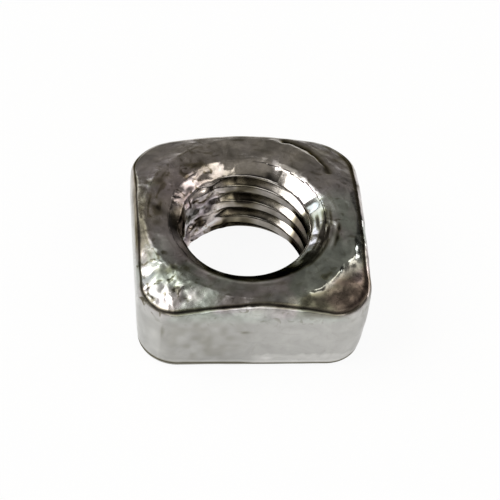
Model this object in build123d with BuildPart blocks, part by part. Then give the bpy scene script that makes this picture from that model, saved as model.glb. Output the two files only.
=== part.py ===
from build123d import *
import math
import os

# Square nut for an M5 coarse screw thread, cold formed in one piece and plated bright.
# Millimetres. Z runs along the thread, the flat bearing face lies at Z = 0 and the face
# with the chamfered corners looks up. The thread itself is fine and is not cut here:
# the bore has the radius of the thread's crests.

# Blank, as the die leaves it
across_flats = 8.0  # over the widest part of the side walls
thickness = 3.35
corner_radius = 1.46  # of the four upright corners, at the widest part
widest_height = 2.4  # where the bowed side walls stand furthest out
wall_bow = 0.15  # how far a wall draws in from there to the bearing face
blank_off_x = 0.12  # the middle of the blank, measured from the thread axis
blank_off_y = 0.05

# Chamfered face
chamfer_inset = 0.4  # from the walls, at their widest, to the flat land inside the chamfer
chamfer_angle = 24.0  # degrees down from the flat land
top_edge_radius = 0.3  # the soft rolled edge between the chamfer and the walls
bearing_edge_radius = 0.12  # the tighter edge round the bearing face

# Tapped hole
bore_diameter = 4.38  # over the crests of the thread
countersink_diameter = 5.5  # at the chamfered face
bearing_countersink_diameter = 5.3
countersink_angle = 120.0  # degrees, the whole cone
rim_radius = 0.1  # the worn rim of each countersink

# Room for the cuts to run clear of the stock
clear = 1.0

# The blank stands on the XY plane, its middle a little off the thread axis
blank_middle = Vector(blank_off_x, blank_off_y, 0)
blank_plan = Plane(blank_middle)
corner_section = Plane(blank_middle, x_dir=(1, 1, 0), z_dir=(1, -1, 0))

half = across_flats / 2
land_radius = half - chamfer_inset
bow_radius = (widest_height**2 + wall_bow**2) / (2 * wall_bow)


def draw_in(height):
    """How far a wall stands back from its widest line at a height above the bearing face."""
    return bow_radius - math.sqrt(bow_radius**2 - (height - widest_height) ** 2)


with BuildPart() as square_nut:
    # Stock with a little more on every side than the walls need
    stock_width = across_flats + 2 * clear
    with BuildSketch(blank_plan):
        RectangleRounded(stock_width, stock_width, corner_radius + clear)
    extrude(amount=thickness)

    # The bowed walls, cut by one profile that runs round the flats and the upright corners.
    # The profile's own origin lies on the widest outline, its first axis points out of the nut.
    with BuildLine(blank_plan) as outline:
        FilletPolyline(
            (half, half),
            (-half, half),
            (-half, -half),
            (half, -half),
            radius=corner_radius,
            close=True,
        )
    path = outline.wire()
    outward = (path % 0).cross(Vector(0, 0, 1))
    wall_section = Plane(path @ 0, x_dir=outward, z_dir=outward.cross(Vector(0, 0, 1)))
    with BuildSketch(wall_section):
        with BuildLine():
            low = -clear / 2
            high = thickness + clear / 2
            outside = 2 * clear
            wall = ThreePointArc((-draw_in(low), low), (0, widest_height), (-draw_in(high), high))
            Polyline(wall @ 1, (outside, high), (outside, low), wall @ 0)
        make_face()
    sweep(path=path, mode=Mode.SUBTRACT)

    # The corner chamfer is a shallow cone about the middle of the blank, drawn through a corner
    with BuildSketch(corner_section):
        with BuildLine():
            reach = across_flats
            drop = (reach - land_radius) * math.tan(math.radians(chamfer_angle))
            Polyline(
                (land_radius, thickness),
                (reach, thickness - drop),
                (reach, thickness + clear),
                (land_radius, thickness + clear),
                close=True,
            )
        make_face()
    revolve(axis=Axis(blank_middle, (0, 0, 1)), mode=Mode.SUBTRACT)

    # Rolled edges round both faces
    chamfer_face = square_nut.faces().filter_by(GeomType.CONE).sort_by(Axis.Z)[-1]
    fillet(chamfer_face.edges().filter_by(GeomType.CIRCLE, reverse=True), radius=top_edge_radius)
    fillet(square_nut.faces().sort_by(Axis.Z)[0].edges(), radius=bearing_edge_radius)

    # One bore, countersunk from both faces, each rim worn a little round
    chamfered_face = Plane((0, 0, thickness))
    bearing_face = Plane((0, 0, 0), x_dir=(1, 0, 0), z_dir=(0, 0, -1))
    for face, rim_diameter in (
        (chamfered_face, countersink_diameter),
        (bearing_face, bearing_countersink_diameter),
    ):
        with Locations(face):
            CounterSinkHole(
                radius=bore_diameter / 2,
                counter_sink_radius=rim_diameter / 2,
                depth=thickness,
                counter_sink_angle=countersink_angle,
            )
        rims = square_nut.edges(Select.LAST).filter_by(GeomType.CIRCLE)
        fillet(rims.group_by(SortBy.RADIUS)[-1], radius=rim_radius)

square_nut.part.label = "square_nut"
os.makedirs("parts", exist_ok=True)
export_step(square_nut.part, "parts/square_nut.step")
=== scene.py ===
import itertools
import math

import bpy
import numpy as np
from mathutils import Matrix, Vector


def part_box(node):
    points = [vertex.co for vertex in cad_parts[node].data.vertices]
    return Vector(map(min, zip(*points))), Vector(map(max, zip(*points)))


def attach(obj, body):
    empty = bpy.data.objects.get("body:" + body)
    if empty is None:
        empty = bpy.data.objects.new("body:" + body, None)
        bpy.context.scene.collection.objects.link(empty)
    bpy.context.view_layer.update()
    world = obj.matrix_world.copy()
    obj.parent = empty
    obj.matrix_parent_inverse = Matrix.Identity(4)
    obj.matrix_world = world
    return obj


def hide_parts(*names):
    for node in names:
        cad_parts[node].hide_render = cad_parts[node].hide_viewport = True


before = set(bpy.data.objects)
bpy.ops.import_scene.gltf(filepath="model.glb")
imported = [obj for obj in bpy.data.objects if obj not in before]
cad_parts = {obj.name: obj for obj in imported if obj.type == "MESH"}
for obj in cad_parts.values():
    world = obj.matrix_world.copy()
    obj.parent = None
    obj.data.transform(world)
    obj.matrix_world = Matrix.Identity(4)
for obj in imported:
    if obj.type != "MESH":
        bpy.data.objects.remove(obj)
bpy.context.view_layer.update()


# The nut's shape is worked out in millimetres and written to the mesh in metres. X points to the
# right of the photo, Y to its far side and Z up. A turn is an angle round the thread's axis in
# degrees, 0 on the right and 90 on the far side.
MM = 0.001

lowest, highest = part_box("square_nut")
ACROSS = (highest.x - lowest.x) / MM
THICKNESS = highest.z / MM
BLANK_X = (highest.x + lowest.x) / 2 / MM
BLANK_Y = (highest.y + lowest.y) / 2 / MM

# Forged blank
CORNER_RADIUS = 1.46
WIDEST_HEIGHT = 2.4
WALL_BOW = 0.15
BOW_RADIUS = (WIDEST_HEIGHT**2 + WALL_BOW**2) / (2 * WALL_BOW)
UPPER_BOW = 0.06  # how much sooner a wall turns in above its widest line, per millimetre squared
CHAMFER_INSET = 0.39  # from the walls, at their widest, to the flat land inside the chamfer
LAND_RADIUS = ACROSS / 2 - CHAMFER_INSET
CHAMFER_SLOPE = 0.42
CHAMFER_BEND = 0.05
TOP_ROLL = 0.29
TOP_ROLL_WAVE = 0.3  # share by which that radius changes round the nut
BEARING_ROLL = 0.13
WALL_ROOM = 0.03  # kept free inside the box for the waves of the walls
FACE_ROOM = 0.006  # and of the chamfered face

# Tapped hole
HOLE_X = -0.01  # its middle at the chamfered face
HOLE_LEAN = 0.07  # how far it shifts along X from top to bottom
CREST_RADIUS = 2.19
ROOT_RADIUS = 2.5
PITCH = 0.8
THREAD_START = 0.33  # share of a turn
CREST_FLAT = 0.34
FLANK = math.tan(math.radians(60))
THREAD_BEND = 0.06
RIM_RADIUS = 2.78
RIM_WAVE = 0.04
BEARING_RIM_RADIUS = 2.65
RIM_BEND = 0.1
SINK_SLOPE = math.tan(math.radians(30))
SEAM_RADIUS = 2.52  # the countersinks above it follow the plan, the bore below it the height

# Damage to the hole, on stretches of its turn
STRUCK = (18, 65)
STRUCK_SLOPE = 0.3  # how much steeper the upper countersink is there
CRUSHED = (103, 178)
CRUSHED_SHARE = 0.7  # of the thread's depth that is filled there
WORN = (-35, 28)
WORN_SHARE = CRUSHED_SHARE / 3

# Where the nut is creased, dented or raised
CREASE = ((1.6, 3.72), (2.2, 3.5), (2.7, 3.0), (3.0, 2.1))  # X and Y along it
RIDGE_RADIUS = 3.67
EDGE_DROP = (-2.95, -3.95, 3.02)
WALL_DENT = (-3.03, -3.93, 1.84)
RIGHT_FACET = (3.4, -1.55, 3.27)
FRONT_FACET = (2.2, -3.05, 3.28)

# Marks, each with its place, its reach along X, Y and Z, and its strength
CLOUDY_STAINS_AND_SHADE = (
    ((-3.14, 0.4, 3.3), (0.22, 0.8, 0.5), 0.9),  # land, left of the hole
    ((-3.0, 1.7, 3.3), (0.35, 0.3, 0.5), 0.7),
    ((-1.7, 2.5, 3.3), (0.6, 0.2, 0.5), 0.7),  # land, at the far left rim
    ((3.0, -0.7, 3.2), (0.2, 0.4, 0.5), 0.4),  # land, right of the hole
    ((0.2, -3.4, 3.3), (3.0, 0.7, 0.4), 0.25),  # land, in front of the hole
    ((-3.5, -1.7, 3.2), (0.3, 0.3, 0.5), 0.6),  # inner edge of the front left chamfer
    ((-2.6, -2.2, 3.2), (0.5, 0.15, 0.5), 0.8),
    ((2.5, -2.6, 3.2), (0.3, 0.2, 0.5), 0.7),  # inner edge of the front right chamfer
    ((3.3, 3.2, 3.0), (0.7, 0.7, 0.5), 0.4),  # far right corner
    ((-2.9, -3.9, 3.04), (0.16, 0.3, 0.12), 1.4),  # under the front left edge
    ((-1.6, -3.93, 1.6), (1.3, 0.3, 1.6), 0.2),  # front wall
    ((-0.35, -3.93, 1.98), (0.3, 0.3, 0.06), 0.5),
    (WALL_DENT, (0.05, 0.3, 0.24), 0.9),
    ((-2.35, 0.25, 2.7), (0.3, 0.6, 0.5), 1.0),  # countersink, on the left
    ((0.3, 2.3, 1.75), (0.4, 0.4, 0.14), 1.2),  # far wall of the thread: painted shade of its flanks
)
EVEN_STAINS = (
    ((-2.4, 0.1, 2.8), (0.35, 0.55, 0.6), 0.9),  # countersink, on the left
    ((-2.6, -2.7, 3.15), (0.8, 0.8, 0.3), 0.15),  # front left chamfer
    ((-3.68, -0.65, 3.2), (0.3, 0.8, 0.35), 0.75),  # along the left edge
    ((-3.62, 1.0, 3.2), (0.3, 0.9, 0.4), 0.6),
    ((2.0, -3.45, 3.12), (0.55, 0.22, 0.25), 0.6),  # along the front edge, on the right
)
# Painted highlights, glints and reflections on the plating
PAINTED_HIGHLIGHT_SPOTS = (
    ((-3.3, 0.3, 3.3), (0.9, 2.2, 0.5), 0.8),  # land and chamfer, on the left
    ((0, 3.3, 3.3), (2.5, 0.7, 0.5), 0.35),  # land, behind the hole
    ((-1.3, -3.3, 3.2), (0.7, 0.25, 0.5), 0.5),  # front edge
    ((3.2, -1.2, 3.3), (0.12, 0.5, 0.5), 0.8),  # land, right of the hole
    ((2.83, 0.5, 3.3), (0.24, 0.45, 0.3), 2.6),  # painted highlight at the right rim
    ((-0.8, 2.2, 1.5), (0.25, 0.4, 0.9), 2.5),  # where the crushed thread begins
)
WRINKLED_SPOTS = (
    ((-3.0, -2.8, 3.0), (1.0, 1.0, 1.0), 0.9),  # front left corner
    ((3.1, -2.7, 3.0), (0.8, 0.8, 1.0), 0.1),  # front right corner
    ((-2.3, 2.0, 3.3), (1.3, 1.3, 1.0), 0.25),  # land, far left
    ((3.0, 1.0, 3.3), (0.8, 1.6, 1.0), 0.3),  # land, on the right
    ((-1.9, 2.4, 3.3), (0.9, 0.5, 1.0), 0.5),  # far left rim
    ((-3.3, 2.9, 3.1), (1.1, 1.3, 1.0), -0.3),  # far left corner, which is smooth
)
BUMPS = (
    (EDGE_DROP, (0.16, 0.3, 0.14), 0.05),  # left by the plating under the front left edge
    (WALL_DENT, (0.07, 0.3, 0.3), -0.03),
    ((-0.3, -3.93, 1.98), (0.25, 0.3, 0.07), -0.015),  # scratch in the front wall
    ((-0.35, 2.9, 3.3), (0.45, 0.1, 0.5), -0.03),  # ripple at the far rim of the hole
    ((3.6, -3.4, 1.7), (0.6, 0.6, 0.7), 0.08),  # bulge of the front right corner
    ((3.6, -3.4, 0.5), (0.7, 0.7, 0.5), 0.05),
    ((4.1, 1.2, 2.7), (0.5, 1.3, 0.8), 0.035),  # bulge of the right wall
    ((-3.85, 0.9, 2.6), (0.5, 1.5, 0.8), 0.03),  # bulge of the left wall
)

# Mesh columns run round the nut; these are the rows of each stretch of its section
COLUMNS = 460
BEARING_ROWS = 10
BEARING_ROLL_ROWS = 8
WALL_ROWS = 40
TOP_ROLL_ROWS = 14
TOP_ROWS = 50
BORE_ROWS = 90

NOISE_CELLS = 32


def soft(x, width):
    """x where it is positive and 0 where it is negative, with a bend of this width."""
    return (x + np.sqrt(x * x + width * width)) / 2


def above(value, low, edge):
    """0 below a value and 1 above it, with a ramp of this width."""
    return np.clip((value - low) / edge + 0.5, 0, 1)


def below(value, high, edge):
    """1 below a value and 0 above it, with a ramp of this width."""
    return np.clip((high - value) / edge + 0.5, 0, 1)


def window(value, span, edge):
    """1 inside a span of values and 0 outside it, with ramps of this width."""
    low, high = span
    return above(value, low, edge) * below(value, high, edge)


def bell(value, middle, width):
    """1 at a value, falling to 0 beyond this distance from it."""
    return np.exp(-(((value - middle) / width) ** 2))


def noise(points, size, seed):
    """Smooth random values from -1 to 1 that change over spots of this size."""
    cells = np.random.default_rng(seed).uniform(-1, 1, (NOISE_CELLS, NOISE_CELLS, NOISE_CELLS))
    place = points / size
    low = np.floor(place).astype(int)
    part = place - low
    part = part * part * (3 - 2 * part)
    total = np.zeros(points.shape[:-1])
    for corner in itertools.product((0, 1), repeat=3):
        weight = np.where(corner, part, 1 - part).prod(-1)
        index = (low + corner) % NOISE_CELLS
        total += weight * cells[index[..., 0], index[..., 1], index[..., 2]]
    return total


def at(plan, z):
    """Points over these points of the plan, at this height."""
    return np.concatenate([plan, np.broadcast_to(z, plan.shape[:-1])[..., None]], -1)


def outline():
    """Points in even steps round the widest line of the walls, and the way out at each."""
    straight = ACROSS - 2 * CORNER_RADIUS - 2 * WALL_ROOM
    arc = math.pi / 2 * CORNER_RADIUS
    walked = np.arange(COLUMNS) / COLUMNS * 4 * (straight + arc)
    quarter, along = np.divmod(walked, straight + arc)
    past_flat = along - straight / 2
    bend = np.clip(past_flat / CORNER_RADIUS, 0, math.pi / 2)
    x = straight / 2 + CORNER_RADIUS * np.cos(bend) - np.maximum(past_flat - arc, 0)
    y = straight / 2 + CORNER_RADIUS * np.sin(bend) + np.minimum(past_flat, 0)
    angle = quarter * math.pi / 2
    cos, sin = np.cos(angle), np.sin(angle)
    edge = np.stack([x * cos - y * sin, x * sin + y * cos], 1)
    outward = np.stack([np.cos(angle + bend), np.sin(angle + bend)], 1)
    return edge + (BLANK_X, BLANK_Y), outward


def draw_in(z):
    """How far a wall stands back from its widest line at a height."""
    over = np.maximum(z - WIDEST_HEIGHT, 0)
    return BOW_RADIUS - np.sqrt(BOW_RADIUS**2 - (z - WIDEST_HEIGHT) ** 2) + UPPER_BOW * over**2


def wall_lean(z):
    """How far a wall's outward direction tips up at a height, in radians."""
    over = np.maximum(z - WIDEST_HEIGHT, 0)
    return np.arctan((z - WIDEST_HEIGHT) / BOW_RADIUS + 2 * UPPER_BOW * over)


def hole_middle(z):
    """X of the middle of the leaning hole at a height."""
    return HOLE_LEAN * (1 - z / THICKNESS) + HOLE_X


def rim(angle):
    """Radius of the worn rim of the upper countersink, a little oval and uneven."""
    around = np.stack([np.cos(angle), np.sin(angle), np.zeros_like(angle)], -1) * RIM_RADIUS
    return RIM_RADIUS - RIM_WAVE * np.cos(2 * angle) + RIM_WAVE * noise(around, 0.5, seed=21)


def sink_slope(angle):
    """Slope of the upper countersink, steeper on the far right where it was struck."""
    return SINK_SLOPE + STRUCK_SLOPE * window(np.degrees(angle), STRUCK, 14)


def top_height(plan):
    """Height of the chamfered face over a point of the plan."""
    x, y = plan[..., 0], plan[..., 1]
    chamfer = CHAMFER_SLOPE * soft(np.hypot(x - BLANK_X, y - BLANK_Y) - LAND_RADIUS, CHAMFER_BEND)
    angle = np.arctan2(y, x)
    from_hole = np.hypot(x - hole_middle(THICKNESS), y)
    sink = sink_slope(angle) * soft(rim(angle) - from_hole, RIM_BEND)
    return THICKNESS - FACE_ROOM - chamfer - sink


def bearing_height(plan):
    """Height of the bearing face over a point of the plan."""
    from_hole = np.hypot(plan[..., 0] - hole_middle(0), plan[..., 1])
    return SINK_SLOPE * soft(BEARING_RIM_RADIUS - from_hole, RIM_BEND)


def bore_radius(angle, z):
    """Radius of the tapped hole: the crests, the grooves between them and both countersinks."""
    turns = z / PITCH - angle / (2 * math.pi) + THREAD_START
    from_crest = np.abs(turns - np.round(turns)) * PITCH
    flank = soft((from_crest - CREST_FLAT / 2) * FLANK, THREAD_BEND)
    groove = flank - soft(flank - (ROOT_RADIUS - CREST_RADIUS), THREAD_BEND)
    groove = groove * (1 - CRUSHED_SHARE * window(np.degrees(angle), CRUSHED, 14))
    groove = groove * (1 - WORN_SHARE * window(np.degrees(angle), WORN, 20))
    thread = CREST_RADIUS + groove
    top_sink = rim(angle) - (THICKNESS - FACE_ROOM - z) / sink_slope(angle)
    bearing_sink = BEARING_RIM_RADIUS - z / SINK_SLOPE
    sink = np.maximum(top_sink, bearing_sink)
    return thread + soft(sink - thread, THREAD_BEND)


def roll_rows(edge, outward, middle_in, middle_z, radius, span, count):
    """Rows over a rolled edge, between two directions of its section."""
    first, last = span
    rows = []
    for part in np.linspace(0, 1, count):
        angle = first + (last - first) * part
        out = middle_in + radius * np.cos(angle)
        rows.append(at(edge + outward * out[:, None], middle_z + radius * np.sin(angle)))
    return rows


def bearing_roll(edge, outward):
    """Rows over the rolled edge of the bearing face."""
    z = np.full(COLUMNS, BEARING_ROLL)
    middle_in = -draw_in(z) - BEARING_ROLL
    span = (-math.pi / 2, wall_lean(z))
    return roll_rows(edge, outward, middle_in, z, BEARING_ROLL, span, BEARING_ROLL_ROWS)


def top_roll(edge, outward):
    """Rows over the rolled edge of the chamfered face, found where it meets the wall and the face."""
    radius = TOP_ROLL * (1 + TOP_ROLL_WAVE * noise(at(edge, 0), 0.9, seed=5))
    z = THICKNESS - radius
    step, rounds = 0.05, 8
    for _ in range(rounds):
        middle_in = -draw_in(z) - radius
        middle = edge + outward * middle_in[:, None]
        rise = top_height(middle + outward * step) - top_height(middle - outward * step)
        slope = rise / (2 * step)
        z = top_height(middle) - radius * np.sqrt(1 + slope**2)
    span = (wall_lean(z), math.pi / 2 + np.arctan(slope))
    return roll_rows(edge, outward, middle_in, z, radius, span, TOP_ROLL_ROWS)


def painted_dark_edge_line(edge, outward, part):
    """Painted dark reflection along the rolled edge, a part of the way from the wall to the chamfered
    face.
    """
    right, back = np.clip(outward, 0, 1).T
    middle = 0.72 - 0.17 * back + 0.22 * right
    width = 0.19 - 0.06 * outward[:, 0] ** 2
    width = width * (1 + 0.4 * noise(at(edge, 0), 0.5, seed=40))
    return bell(part, middle, width)


def nut_grid():
    """Points, and the painted shade of each, row by row round the section, for every column round the
    nut.
    """
    edge, outward = outline()
    angle = np.arctan2(edge[:, 1], edge[:, 0])
    around = np.stack([np.cos(angle), np.sin(angle)], 1)
    low_roll = bearing_roll(edge, outward)
    high_roll = top_roll(edge, outward)
    rows, tarnish_and_shade = [], []

    def add(points, darkening=0.0):
        rows.append(points)
        tarnish_and_shade.append(np.broadcast_to(darkening, COLUMNS))

    # Bearing face with its countersink, from the seam in the hole to the rolled edge
    seam = around * SEAM_RADIUS + (hole_middle(0), 0)
    for part in np.linspace(0, 1, BEARING_ROWS, endpoint=False):
        plan = seam + (low_roll[0][:, :2] - seam) * part
        add(at(plan, bearing_height(plan)))
    # Painted contact shade, darkest where the rolled foot meets the floor
    for points, part in zip(low_roll, np.linspace(0, 1, BEARING_ROLL_ROWS)):
        add(points, np.clip(4 * (0.95 - part), 0, 1))

    # Walls, with painted contact shade at the foot, and the edge above them with a painted dark line
    foot, height = low_roll[-1][:, 2], high_roll[0][:, 2] - low_roll[-1][:, 2]
    for part in np.linspace(0, 1, WALL_ROWS + 2)[1:-1]:
        z = foot + height * part
        add(at(edge - outward * draw_in(z)[:, None], z), np.clip((0.26 - z) / 0.1, 0, 1))
    for points, part in zip(high_roll, np.linspace(0, 1, TOP_ROLL_ROWS)):
        add(points, painted_dark_edge_line(edge, outward, part))

    # Chamfered face with its countersink, as far as the seam in the hole
    seam = around * SEAM_RADIUS + (hole_middle(THICKNESS), 0)
    # A painted dark line along the outer edge of the face, on the right side only
    for part in np.linspace(0, 1, TOP_ROWS + 1)[1:]:
        plan = high_roll[-1][:, :2] + (seam - high_roll[-1][:, :2]) * part
        add(at(plan, top_height(plan)), np.clip(outward[:, 0], 0, 1) * bell(part, 0, 0.045))

    # Bore and thread, down to the first seam
    top_seam = THICKNESS - FACE_ROOM - (rim(angle) - SEAM_RADIUS) * sink_slope(angle)
    bearing_seam = (BEARING_RIM_RADIUS - SEAM_RADIUS) * SINK_SLOPE
    for part in np.linspace(0, 1, BORE_ROWS + 2)[1:-1]:
        z = top_seam + (bearing_seam - top_seam) * part
        radius = bore_radius(angle, z)
        middle = np.stack([hole_middle(z), np.zeros_like(z)], 1)
        groove = np.clip((radius - CREST_RADIUS) / (ROOT_RADIUS - CREST_RADIUS), 0, 1)
        # Painted shade, darker deeper down the hole and in the grooves
        depth = np.clip((top_seam - z) / 0.4, 0, 1)
        add(at(around * radius[:, None] + middle, z), depth * (0.35 + 0.5 * groove))
    return np.array(rows), np.array(tarnish_and_shade)


def grid_normals(grid):
    """Outward directions of a grid whose rows and columns both close on themselves."""
    along = np.roll(grid, -1, 1) - np.roll(grid, 1, 1)
    across = np.roll(grid, -1, 0) - np.roll(grid, 1, 0)
    normal = np.cross(along, across)
    return normal / np.linalg.norm(normal, axis=-1, keepdims=True)


class Skin:
    """The points of the plain nut, with the measures that wear and painted light are placed by."""

    def __init__(self, grid):
        self.grid = grid
        self.x, self.y, self.z = np.moveaxis(grid, -1, 0)
        self.radius = np.hypot(self.x, self.y)
        self.turn = np.degrees(np.arctan2(self.y, self.x))
        self.from_blank = np.hypot(self.x - BLANK_X, self.y - BLANK_Y)

    def noise(self, size, seed):
        """Noise whose spots have this size on the nut."""
        return noise(self.grid, size, seed)

    def drawn_round(self, width, length, z, seed):
        """Noise whose spots are drawn out round the axis, to a length in degrees."""
        return noise(np.stack([self.radius / width, self.turn / length, z], -1), 1.0, seed)

    def near(self, place, reach):
        """1 at a place, falling to 0 beyond a reach given along X, Y and Z."""
        offset = (self.grid - place) / reach
        return np.exp(-(offset**2).sum(-1))

    def marked(self, marks):
        """The sum of marks that are given by place, reach and strength."""
        return sum(strength * self.near(place, reach) for place, reach, strength in marks)


def from_line(points, stops):
    """Distance in plan from a line drawn through these places."""
    nearest = np.full(points.shape[:-1], np.inf)
    for start, end in itertools.pairwise(np.array(stops)):
        offset, step = points - start, end - start
        part = np.clip(offset @ step / (step @ step), 0, 1)
        nearest = np.minimum(nearest, np.linalg.norm(offset - part[..., None] * step, axis=-1))
    return nearest


def crease(skin):
    """1 in the crooked crease that runs over the far right of the chamfered face."""
    crooked = skin.grid[..., :2] + 0.06 * skin.noise(0.3, seed=31)[..., None]
    return bell(from_line(crooked, CREASE), 0, 0.11) * above(skin.z, 2.8, 0.2)


def ridge(skin):
    """1 on the broken ridge where the chamfer of the front right corner begins."""
    radius = skin.from_blank + 0.05 * skin.noise(0.25, seed=44)
    broken = np.clip(0.7 + 1.2 * skin.noise(0.4, seed=45), 0, 1)
    on_corner = window(skin.turn, (-60, -18), 5) * (skin.z > 3)
    return bell(radius, RIDGE_RADIUS, 0.1) * on_corner * broken


def painted_bright_patches(skin):
    """1 in the bright patches on the far left of the hole: painted highlights, where stain and rust are
    less.
    """
    in_hole = (skin.radius < 2.66) * above(skin.z, 0.1, 0.2)
    patches = np.clip(0.55 + 3.0 * skin.noise(0.36, seed=49), 0, 1)
    return in_hole * skin.near((-1.8, 1.5, 1.7), (1.3, 1.2, 2.1)) * patches


def rust(skin):
    """Where the plating has turned brown: the front right corner and the left of the hole."""
    corner = above(skin.from_blank, 3.75, 0.15) * above(skin.z, 2.75, 0.2)
    corner = corner * skin.near((3.2, -3.0, 3.0), (1.6, 1.5, 0.6))
    hole = skin.near((-2.0, 1.3, 2.0), (1.2, 1.4, 2.2)) * (1 - 0.7 * painted_bright_patches(skin))
    hole = hole + 0.8 * skin.near((-1.9, -1.6, 3.1), (0.5, 0.8, 0.5))
    return np.clip(1.2 * corner + hole, 0, 1)


def polished(skin):
    """1 where rubbing kept the metal of the hole bright."""
    turn, radius, z = skin.turn, skin.radius, skin.z
    struck = window(turn, (24, 66), 6) * above(z, 2.3, 0.1) * below(radius, 2.85, 0.1)
    under = window(turn, (38, 54), 5) * below(radius, 2.62, 0.05)
    right = window(turn, (-50, 4), 8) * above(z, 2.2, 0.1) * below(radius, 2.55, 0.1)
    return np.maximum(np.maximum(struck, under), right)


def hole_stains_and_shade(skin, tarnish_and_shade, uneven):
    """The tarnish and painted shade of the nut, with what darkens the countersink and the thread."""
    turn, radius, z = skin.turn, skin.radius, skin.z
    sink = window(radius, (2.25, 2.8), 0.08) * above(z, 2.95, 0.1)
    bore = below(radius, 2.62, 0.05) * below(z, 2.8, 0.2)
    crushed_part = bore * window(turn, (104, 178), 12)
    darkening = tarnish_and_shade * (1 - 0.5 * bore * window(turn, (55, 75), 10)) * (1 - crushed_part)
    darkening += crushed_part * np.clip(2.2 * skin.noise(0.34, seed=34) - 0.5, 0, 0.9)
    # Painted dark reflection in the near countersink
    darkening += sink * window(turn, (-128, -42), 16) * (0.8 + 0.6 * skin.noise(0.35, seed=35))
    right = sink * window(turn, (-45, 6), 12) * above(radius, 2.58, 0.1)
    darkening += right * (0.8 + 0.6 * skin.noise(0.3, seed=36))
    darkening += 0.9 * bore * window(turn, (6, 34), 8)
    darkening += 0.9 * bore * window(turn, (-60, 6), 8) * below(z, 2.2, 0.1)
    # Painted shade on the far wall of the thread
    darkening += 0.4 * bore * window(turn, (78, 108), 15) * uneven
    return darkening * (1 - polished(skin)) * (1 - 0.9 * np.clip(1.5 * painted_bright_patches(skin), 0, 1))


def face_stain(skin, uneven):
    """What darkens the chamfered face: arcs, a worn line, streaks and the brown corner."""
    turn, radius, z = skin.turn, skin.radius, skin.z
    arcs = skin.drawn_round(0.1, 9, np.zeros_like(z), seed=50)
    land = window(radius, (2.86, 3.7), 0.2) * (z > 3) * (0.5 + 0.5 * window(turn, (80, 185), 20))
    darkening = land * np.clip(1.5 * arcs - 0.7, 0, 0.4)
    darkening += window(turn, (-26, -6), 6) * bell(radius, 3.14, 0.05) * (z > 3.2) * uneven
    streaks = np.clip(3 * skin.drawn_round(0.09, 13, z, seed=41), 0, 1)
    darkening += window(turn, (-58, 6), 8) * below(radius, 2.9, 0.1) * above(z, 2.3, 0.1) * streaks
    corner = above(skin.from_blank, 3.84, 0.3) * above(z, 2.75, 0.2)
    corner = corner * skin.near((3.1, -3.2, 2.95), (1.6, 1.6, 0.7))
    return darkening + corner * (0.6 + 0.2 * skin.noise(0.4, seed=42))


def stains_and_shade(skin, tarnish_and_shade):
    """All that darkens the plating, from 0 to 1: stains, tarnish, painted shade and painted dark
    reflections.
    """
    uneven = np.clip(0.6 + 0.9 * skin.noise(0.24, seed=32), 0, 1.2)
    darkening = hole_stains_and_shade(skin, tarnish_and_shade, uneven) + face_stain(skin, uneven)
    darkening += skin.marked(CLOUDY_STAINS_AND_SHADE) * uneven + skin.marked(EVEN_STAINS)
    # Painted dark reflection at the front left of the countersink
    darkening += 0.35 * skin.near((-2.0, -1.5, 3.1), (0.5, 0.8, 0.4)) * (skin.radius < 2.8)
    # The crease is darkened too: painted shade
    return np.clip(np.maximum(darkening, 0.9 * crease(skin)), 0, 1)


def foot_ledge(skin):
    """Height of the crooked ledge along the foot of the front wall."""
    zero = np.zeros_like(skin.x)
    along = np.stack([skin.x, zero, zero], -1)
    return 0.6 + 0.12 * noise(along, 0.7, seed=33) + 0.08 * noise(along, 0.2, seed=37)


def front_painted_highlight(skin):
    """Painted highlights on the front wall: along its foot, at its corners and towards the right."""
    x, z = skin.x, skin.z
    front = below(skin.y, -3.3, 0.6) * below(z, 3.0, 0.2)
    foot = window(z, (0.24, foot_ledge(skin)), 0.05) * window(x, (0.1, 3.5), 0.3)
    line = window(z, (0.24, 0.36), 0.05) * window(x, (-2.8, 3.2), 0.5)
    spot = skin.near((0.6, -3.9, 0.52), (0.2, 0.5, 0.1))
    left = below(x, -3.05, 0.08) * (0.6 + 0.4 * skin.noise(0.4, seed=38))
    right = above(x, 3.25, 0.3) * (0.6 + 0.4 * skin.noise(0.4, seed=39))
    side = 0.3 * np.clip(x / 3 + 0.2, 0, 1)
    return front * (0.55 * foot + 0.5 * line + 0.8 * spot + 0.7 * left + 0.3 * right + side)


def painted_highlights(skin):
    """All the painted highlights that brighten the plating, from 0 to 1."""
    turn, radius = skin.turn, skin.radius
    on_face = skin.z > 3.2
    amount = front_painted_highlight(skin) + skin.marked(PAINTED_HIGHLIGHT_SPOTS) + 0.9 * ridge(skin) + 3.0 * painted_bright_patches(skin)
    amount += 1.8 * window(turn, (-140, -70), 20) * bell(radius, 2.88, 0.05) * on_face
    amount += 1.4 * window(turn, (-26, -6), 6) * bell(radius, 3.02, 0.04) * on_face
    return np.clip(amount / 2, 0, 1)


def crushed(skin):
    """Where the skin is wrinkled: 0 where it is smooth and 1 at the front left corner."""
    outside = 0.2 + 0.2 * skin.noise(1.5, seed=11) + skin.marked(WRINKLED_SPOTS)
    outside = outside * np.clip((skin.z - 2.2) / 0.6, 0, 1) + 0.05
    hole = 0.05 + 1.2 * skin.near((-1.9, 1.4, 2.0), (1.6, 1.3, 2.5))
    hole += 0.6 * skin.near((2.4, -0.9, 2.9), (0.5, 0.9, 0.7))
    return np.clip(np.where(skin.radius < 2.7, hole, outside), 0, 1)


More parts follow.
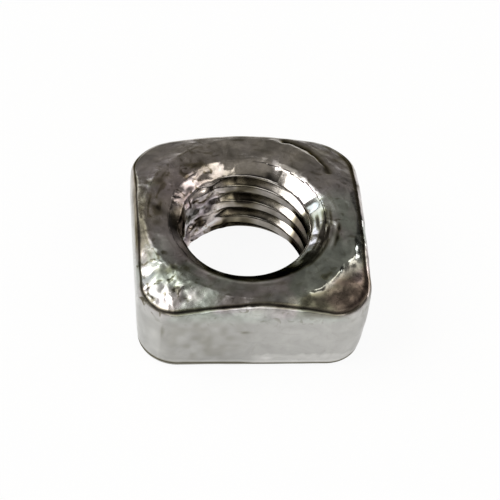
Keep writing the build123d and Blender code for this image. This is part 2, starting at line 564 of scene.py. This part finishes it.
def relief(skin, crush):
    """How far each point of the worn and plated surface stands out from the plain shape."""
    out = 0.006 * skin.noise(1.3, seed=1) + 0.003 * skin.noise(0.6, seed=2)
    out += crush * (0.04 * skin.noise(0.45, seed=3) + 0.02 * skin.noise(0.22, seed=4))
    out += skin.marked(BUMPS) - 0.06 * crease(skin) + 0.05 * ridge(skin)
    out += 0.07 * skin.near(RIGHT_FACET, (0.2, 0.4, 0.3)) * (1 + skin.noise(0.2, seed=47))
    out += 0.05 * skin.near(FRONT_FACET, (0.3, 0.2, 0.3)) * (1 + skin.noise(0.2, seed=48))
    ledge = window(skin.z, (0.15, foot_ledge(skin)), 0.05) * window(skin.x, (-0.1, 3.3), 0.5)
    out += 0.04 * ledge * (skin.y < -3.5)
    bore = (skin.radius < 2.6) * window(skin.z, (0.2, 3.1), 0.2)
    lumps = skin.near((-2.0, 1.2, 1.8), (1.4, 1.5, 2.5)) * skin.noise(0.36, seed=43)
    return out + 0.14 * bore * lumps


def build_nut():
    """The nut as one closed mesh, with wear, painted shade and highlights as attributes the material
    reads.
    """
    grid, tarnish_and_shade = nut_grid()
    skin = Skin(grid)
    crush = crushed(skin)
    marks = {
        "tarnish_and_shade": stains_and_shade(skin, tarnish_and_shade),
        "crush": crush,
        "upper": np.maximum(above(skin.z, 2.7, 0.6), skin.radius < 2.7),
        "painted_highlight": painted_highlights(skin),
        "rust": rust(skin),
    }
    grid = grid + grid_normals(grid) * relief(skin, crush)[..., None]
    half = ACROSS / 2
    low = (BLANK_X - half, BLANK_Y - half, 0)
    high = (BLANK_X + half, BLANK_Y + half, THICKNESS)
    grid = np.clip(grid, low, high)

    rows, columns = grid.shape[:2]
    index = np.arange(rows * columns).reshape(rows, columns)
    beside = np.roll(index, -1, 1)
    quads = np.stack([index, beside, np.roll(beside, -1, 0), np.roll(index, -1, 0)], -1)
    mesh = bpy.data.meshes.new("nut")
    mesh.from_pydata((grid.reshape(-1, 3) * MM).tolist(), [], quads.reshape(-1, 4).tolist())
    mesh.shade_smooth()
    for name, values in marks.items():
        attribute = mesh.attributes.new(name, "FLOAT", "POINT")
        attribute.data.foreach_set("value", values.astype(np.float32).ravel())
    return add_object("nut", mesh)


def add_object(name, data):
    added = bpy.data.objects.new(name, data)
    bpy.context.scene.collection.objects.link(added)
    return added


WHITE = (1, 1, 1)


def grey(level):
    return (level, level, level)


class Nodes:
    """Short helper for building a node material."""

    def __init__(self, tree):
        self.tree = tree

    def add(self, kind, inputs=(), **settings):
        node = self.tree.nodes.new(kind)
        for name, value in settings.items():
            setattr(node, name, value)
        for name, value in dict(inputs).items():
            if isinstance(value, bpy.types.NodeSocket):
                self.tree.links.new(value, node.inputs[name])
            else:
                node.inputs[name].default_value = value
        return node

    def attribute(self, name):
        return self.add("ShaderNodeAttribute", attribute_name=name).outputs["Fac"]

    def math(self, operation, *values):
        node = self.add("ShaderNodeMath", dict(enumerate(values)), operation=operation)
        return node.outputs[0]

    def mix(self, factor, first, second, blend="MIX"):
        """A mix of two colours, whose sockets have no names of their own."""
        inputs = {"Factor": factor, 6: first, 7: second}
        return self.add("ShaderNodeMix", inputs, data_type="RGBA", blend_type=blend).outputs[2]

    def times(self, colour, *others):
        for other in others:
            colour = self.mix(1.0, colour, other, "MULTIPLY")
        return colour

    def ramp(self, factor, *stops):
        node = self.add("ShaderNodeValToRGB", {"Fac": factor})
        while len(node.color_ramp.elements) < len(stops):
            node.color_ramp.elements.new(1)
        for element, (position, colour) in zip(node.color_ramp.elements, stops):
            element.position = position
            element.color = (*colour, 1)
        return node.outputs["Color"]

    def bump(self, height, distance, **before):
        inputs = {"Height": height, "Strength": 1.0, "Distance": distance, **before}
        return self.add("ShaderNodeBump", inputs).outputs["Normal"]


def new_material(name):
    """A material with no nodes, and the helper that adds them."""
    material = bpy.data.materials.new(name)
    material.use_nodes = True
    material.node_tree.nodes.clear()
    return material, Nodes(material.node_tree)


def plated_steel():
    """Bright plating with casts and stains, which reads the wear, painted shade and highlights from the
    mesh.
    """
    material, nodes = new_material("plated steel")
    place = nodes.add("ShaderNodeTexCoord").outputs["Object"]
    place = nodes.add("ShaderNodeVectorMath", {0: place, "Scale": 1 / MM}, operation="SCALE").outputs[0]
    tarnish_and_shade = nodes.attribute("tarnish_and_shade")
    crush = nodes.attribute("crush")

    def spots(scale, detail, distortion, low, high):
        """Soft random patches from 0 to 1."""
        inputs = {"Vector": place, "Scale": scale, "Detail": detail, "Distortion": distortion}
        value = nodes.add("ShaderNodeTexNoise", inputs).outputs["Fac"]
        spread = {"Value": value, "From Min": low, "From Max": high}
        return nodes.add("ShaderNodeMapRange", spread).outputs["Result"]

    # Green cast in front, violet and brown ones behind, with darker clouds and smears
    along_y = nodes.add("ShaderNodeSeparateXYZ", {0: place}).outputs["Y"]
    drift = nodes.math("MULTIPLY_ADD", along_y, 0.11, spots(0.45, 3.0, 0.8, 0.3, 0.7))
    green, violet, brown = (0.9, 0.98, 0.92), (1.0, 0.935, 0.98), (1.0, 0.935, 0.88)
    cast = nodes.ramp(drift, (0.15, green), (0.5, violet), (0.9, brown))
    clouds = nodes.ramp(spots(0.9, 5.0, 1.5, 0.3, 0.7), (0.0, grey(0.62)), (1.0, grey(1.3)))
    smears = nodes.ramp(spots(3.5, 4.0, 1.0, 0.35, 0.65), (0.0, grey(0.9)), (1.0, grey(1.08)))

    # They show on the chamfered face and in the hole, and the walls are plainer
    walls = (0.85, 0.845, 0.83, 1.0)
    colour = nodes.mix(nodes.attribute("upper"), walls, nodes.times(cast, clouds, smears))
    dull, clear = (0.46, 0.46, 0.455), (0.55, 0.55, 0.545)
    plating = nodes.ramp(spots(1.2, 4.0, 1.0, 0.3, 0.7), (0.0, dull), (1.0, clear))
    # Painted highlights brighten the colour to nearly twice where the mesh marks them
    painted_highlight = nodes.ramp(nodes.attribute("painted_highlight"), (0.0, WHITE), (1.0, (1.9, 1.9, 1.92)))
    rusty = nodes.ramp(nodes.attribute("rust"), (0.0, WHITE), (1.0, (0.88, 0.77, 0.81)))

    # Tarnish and painted shade in the thread, painted shade at the foot, painted dark lines along the
    # edges, and dark marks where the skin is wrinkled
    marks = nodes.math("MULTIPLY", spots(2.4, 3.0, 1.5, 0.56, 0.68), crush)
    darkening = nodes.math("MAXIMUM", marks, tarnish_and_shade)
    olive, black = (0.44, 0.42, 0.33), (0.09, 0.082, 0.068)
    darkening = nodes.ramp(darkening, (0.0, WHITE), (0.5, olive), (1.0, black))
    colour = nodes.times(colour, plating, painted_highlight, rusty, darkening)

    # Duller where it is tarnished or painted with shade, and where it is wrinkled
    haze = {"Value": spots(1.3, 6.0, 0.0, 0.35, 0.7), "To Min": 0.06, "To Max": 0.2}
    roughness = nodes.add("ShaderNodeMapRange", haze).outputs["Result"]
    roughness = nodes.math("MULTIPLY_ADD", tarnish_and_shade, 0.12, roughness)
    roughness = nodes.math("MULTIPLY_ADD", crush, 0.18, roughness)

    # Wrinkles where the skin was crushed, and a fine grain everywhere
    wrinkles = nodes.bump(nodes.math("MULTIPLY", spots(1.8, 1.5, 0.4, 0.0, 1.0), crush), 0.12 * MM)
    surface = nodes.bump(spots(6.0, 4.0, 0.0, 0.0, 1.0), 0.002 * MM, Normal=wrinkles)
    inputs = {
        "Base Color": colour,
        "Specular Tint": darkening,
        "Metallic": 1.0,
        "Roughness": roughness,
        "Normal": surface,
    }
    shader = nodes.add("ShaderNodeBsdfPrincipled", inputs)
    nodes.add("ShaderNodeOutputMaterial", {"Surface": shader.outputs["BSDF"]})
    return material


def pale_paper(name, mirrored):
    """Pale and matte, shown nearly white with the nut's shadow kept. Metal mirrors part of the white."""
    material, nodes = new_material(name)
    matte = nodes.add("ShaderNodeBsdfDiffuse", {"Color": (0.93, 0.93, 0.92, 1)}).outputs["BSDF"]
    glow = nodes.add("ShaderNodeEmission", {"Color": (*WHITE, 1), "Strength": 1.0})
    light_path = nodes.add("ShaderNodeLightPath").outputs
    shown = nodes.math("MULTIPLY", light_path["Is Camera Ray"], 0.93)
    reflected = nodes.math("MAXIMUM", light_path["Is Glossy Ray"], light_path["Is Transmission Ray"])
    share = nodes.math("MULTIPLY_ADD", reflected, mirrored, shown)
    mix = nodes.add("ShaderNodeMixShader", {0: share, 1: matte, 2: glow.outputs["Emission"]})
    nodes.add("ShaderNodeOutputMaterial", {"Surface": mix.outputs["Shader"]})
    return material


def disc(name, rings, material):
    """A round sheet from rings of radius and height, in metres."""
    steps = 96
    angles = np.arange(steps) / steps * 2 * math.pi
    points = []
    for radius, height in rings:
        points += [(radius * math.cos(a), radius * math.sin(a), height) for a in angles]
    faces = []
    for ring in range(len(rings) - 1):
        inner, outer = ring * steps, (ring + 1) * steps
        for step in range(steps):
            after = (step + 1) % steps
            faces.append((inner + step, outer + step, outer + after, inner + after))
    # Only the floor, which starts at height 0, is closed in the middle
    if rings[0][1] == 0:
        faces.append(tuple(range(steps)))
    mesh = bpy.data.meshes.new(name)
    mesh.from_pydata(points, [], faces)
    sheet = add_object(name, mesh)
    sheet.data.materials.append(material)


def build_floor():
    """A flat pale table, and far behind it a low pale cove that only level views see."""
    table_radius, cove_depth, cove_height = 3.0, 1.5, 0.5
    rings = [(0.02, 0.0), (0.3, 0.0), (table_radius, 0.0)]
    disc("floor", rings, pale_paper("pale paper", 0.45))
    gap = 0.0001
    cove = [
        (table_radius + cove_depth * part, cove_height * part**2 + gap)
        for part in np.linspace(0, 1, 12)
    ]
    disc("cove", cove, pale_paper("far paper", 0.06))


# Camera, placed round the point that it looks at
AIM = Vector((0.2263, 0.0225, 1.6)) * MM
CAMERA_AZIMUTH = -9.57
CAMERA_ELEVATION = 49.41
CAMERA_ROLL = 7.16
CAMERA_DISTANCE = 78.77 * MM
LENS = 163.56

# Lamps: azimuth, elevation, width and height seen from the nut, radiance and colour
LAMP_DISTANCE = 0.6
LAMPS = {
    "key": (-100, 45, 37, 36, 4.5, (1.0, 0.99, 0.97)),
    "left": (-58, 48, 22, 34, 1.4, (0.96, 1.0, 0.94)),
    "key top": (-75, 72, 50, 20, 0.4, (1.0, 1.0, 0.98)),
    "top": (180, 78, 40, 22, 0.1, (1.0, 0.95, 0.85)),
    "front": (170, 20, 90, 26, 1.7, WHITE),
    "right": (106, 52, 28, 26, 2.1, (1.0, 0.96, 0.88)),
    "right low": (74, 37, 24, 20, 1.8, (1.0, 0.95, 0.86)),
    "rim": (62, 8, 26, 16, 4.4, WHITE),
    "strip": (-46, 17, 20, 18, 2.6, (0.85, 0.93, 1.0)),
}
ROOM_COLOUR = (0.205, 0.194, 0.175, 1)


def toward(azimuth, elevation):
    """Direction to a place seen from the nut. Azimuth 0 is the far side, 90 the right."""
    turn, rise = math.radians(azimuth - CAMERA_AZIMUTH), math.radians(elevation)
    return Vector((math.sin(turn) * math.cos(rise), math.cos(turn) * math.cos(rise), math.sin(rise)))


def look(back, roll=0.0):
    """Rotation of a camera or lamp whose back points this way."""
    right = Vector((0, 0, 1)).cross(back).normalized()
    up = back.cross(right)
    turn = Matrix((right, up, back)).transposed().to_4x4()
    return turn @ Matrix.Rotation(math.radians(roll), 4, "Z")


def build_camera():
    data = bpy.data.cameras.new("camera")
    data.lens = LENS
    data.sensor_width = 36
    data.clip_start = 0.001
    camera = add_object("camera", data)
    back = toward(180, CAMERA_ELEVATION)
    place = Matrix.Translation(AIM + back * CAMERA_DISTANCE)
    camera.matrix_world = place @ look(back, CAMERA_ROLL)
    bpy.context.scene.camera = camera


def softbox(name, azimuth, elevation, wide, high, radiance, colour):
    """A rectangular lamp that spans these degrees of the view from the nut."""
    data = bpy.data.lights.new(name, "AREA")
    data.shape = "RECTANGLE"
    data.size = 2 * LAMP_DISTANCE * math.tan(math.radians(wide / 2))
    data.size_y = 2 * LAMP_DISTANCE * math.tan(math.radians(high / 2))
    data.energy = radiance * math.pi * data.size * data.size_y
    data.color = colour
    lamp = add_object(name, data)
    back = toward(azimuth, elevation)
    lamp.matrix_world = Matrix.Translation(back * LAMP_DISTANCE) @ look(back)
    lamp.visible_camera = False


def build_world():
    """A dim warm room, darker where the camera stands and low down at the far right."""
    world = bpy.data.worlds.new("studio")
    world.use_nodes = True
    nodes = Nodes(world.node_tree)
    sky = nodes.add("ShaderNodeTexCoord").outputs["Generated"]

    def shade(azimuth, elevation, edge, core):
        """1 away from a direction, and dark within so many degrees of it."""
        inputs = {0: sky, 1: toward(azimuth, elevation)}
        cosine = nodes.add("ShaderNodeVectorMath", inputs, operation="DOT_PRODUCT").outputs["Value"]
        edge, core = math.cos(math.radians(edge)), math.cos(math.radians(core))
        return nodes.ramp(cosine, (edge, WHITE), (core, grey(0.1)))

    colour = nodes.times(shade(180, 42, 28, 17), shade(48, 20, 28, 15), ROOM_COLOUR)
    nodes.tree.links.new(colour, nodes.tree.nodes["Background"].inputs["Color"])
    bpy.context.scene.world = world


build_camera()
nut = build_nut()
nut.data.materials.append(plated_steel())
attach(nut, "root")
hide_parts("square_nut")
build_floor()
for name, settings in LAMPS.items():
    softbox(name, *settings)
build_world()
bpy.context.scene.view_settings.view_transform = "Standard"
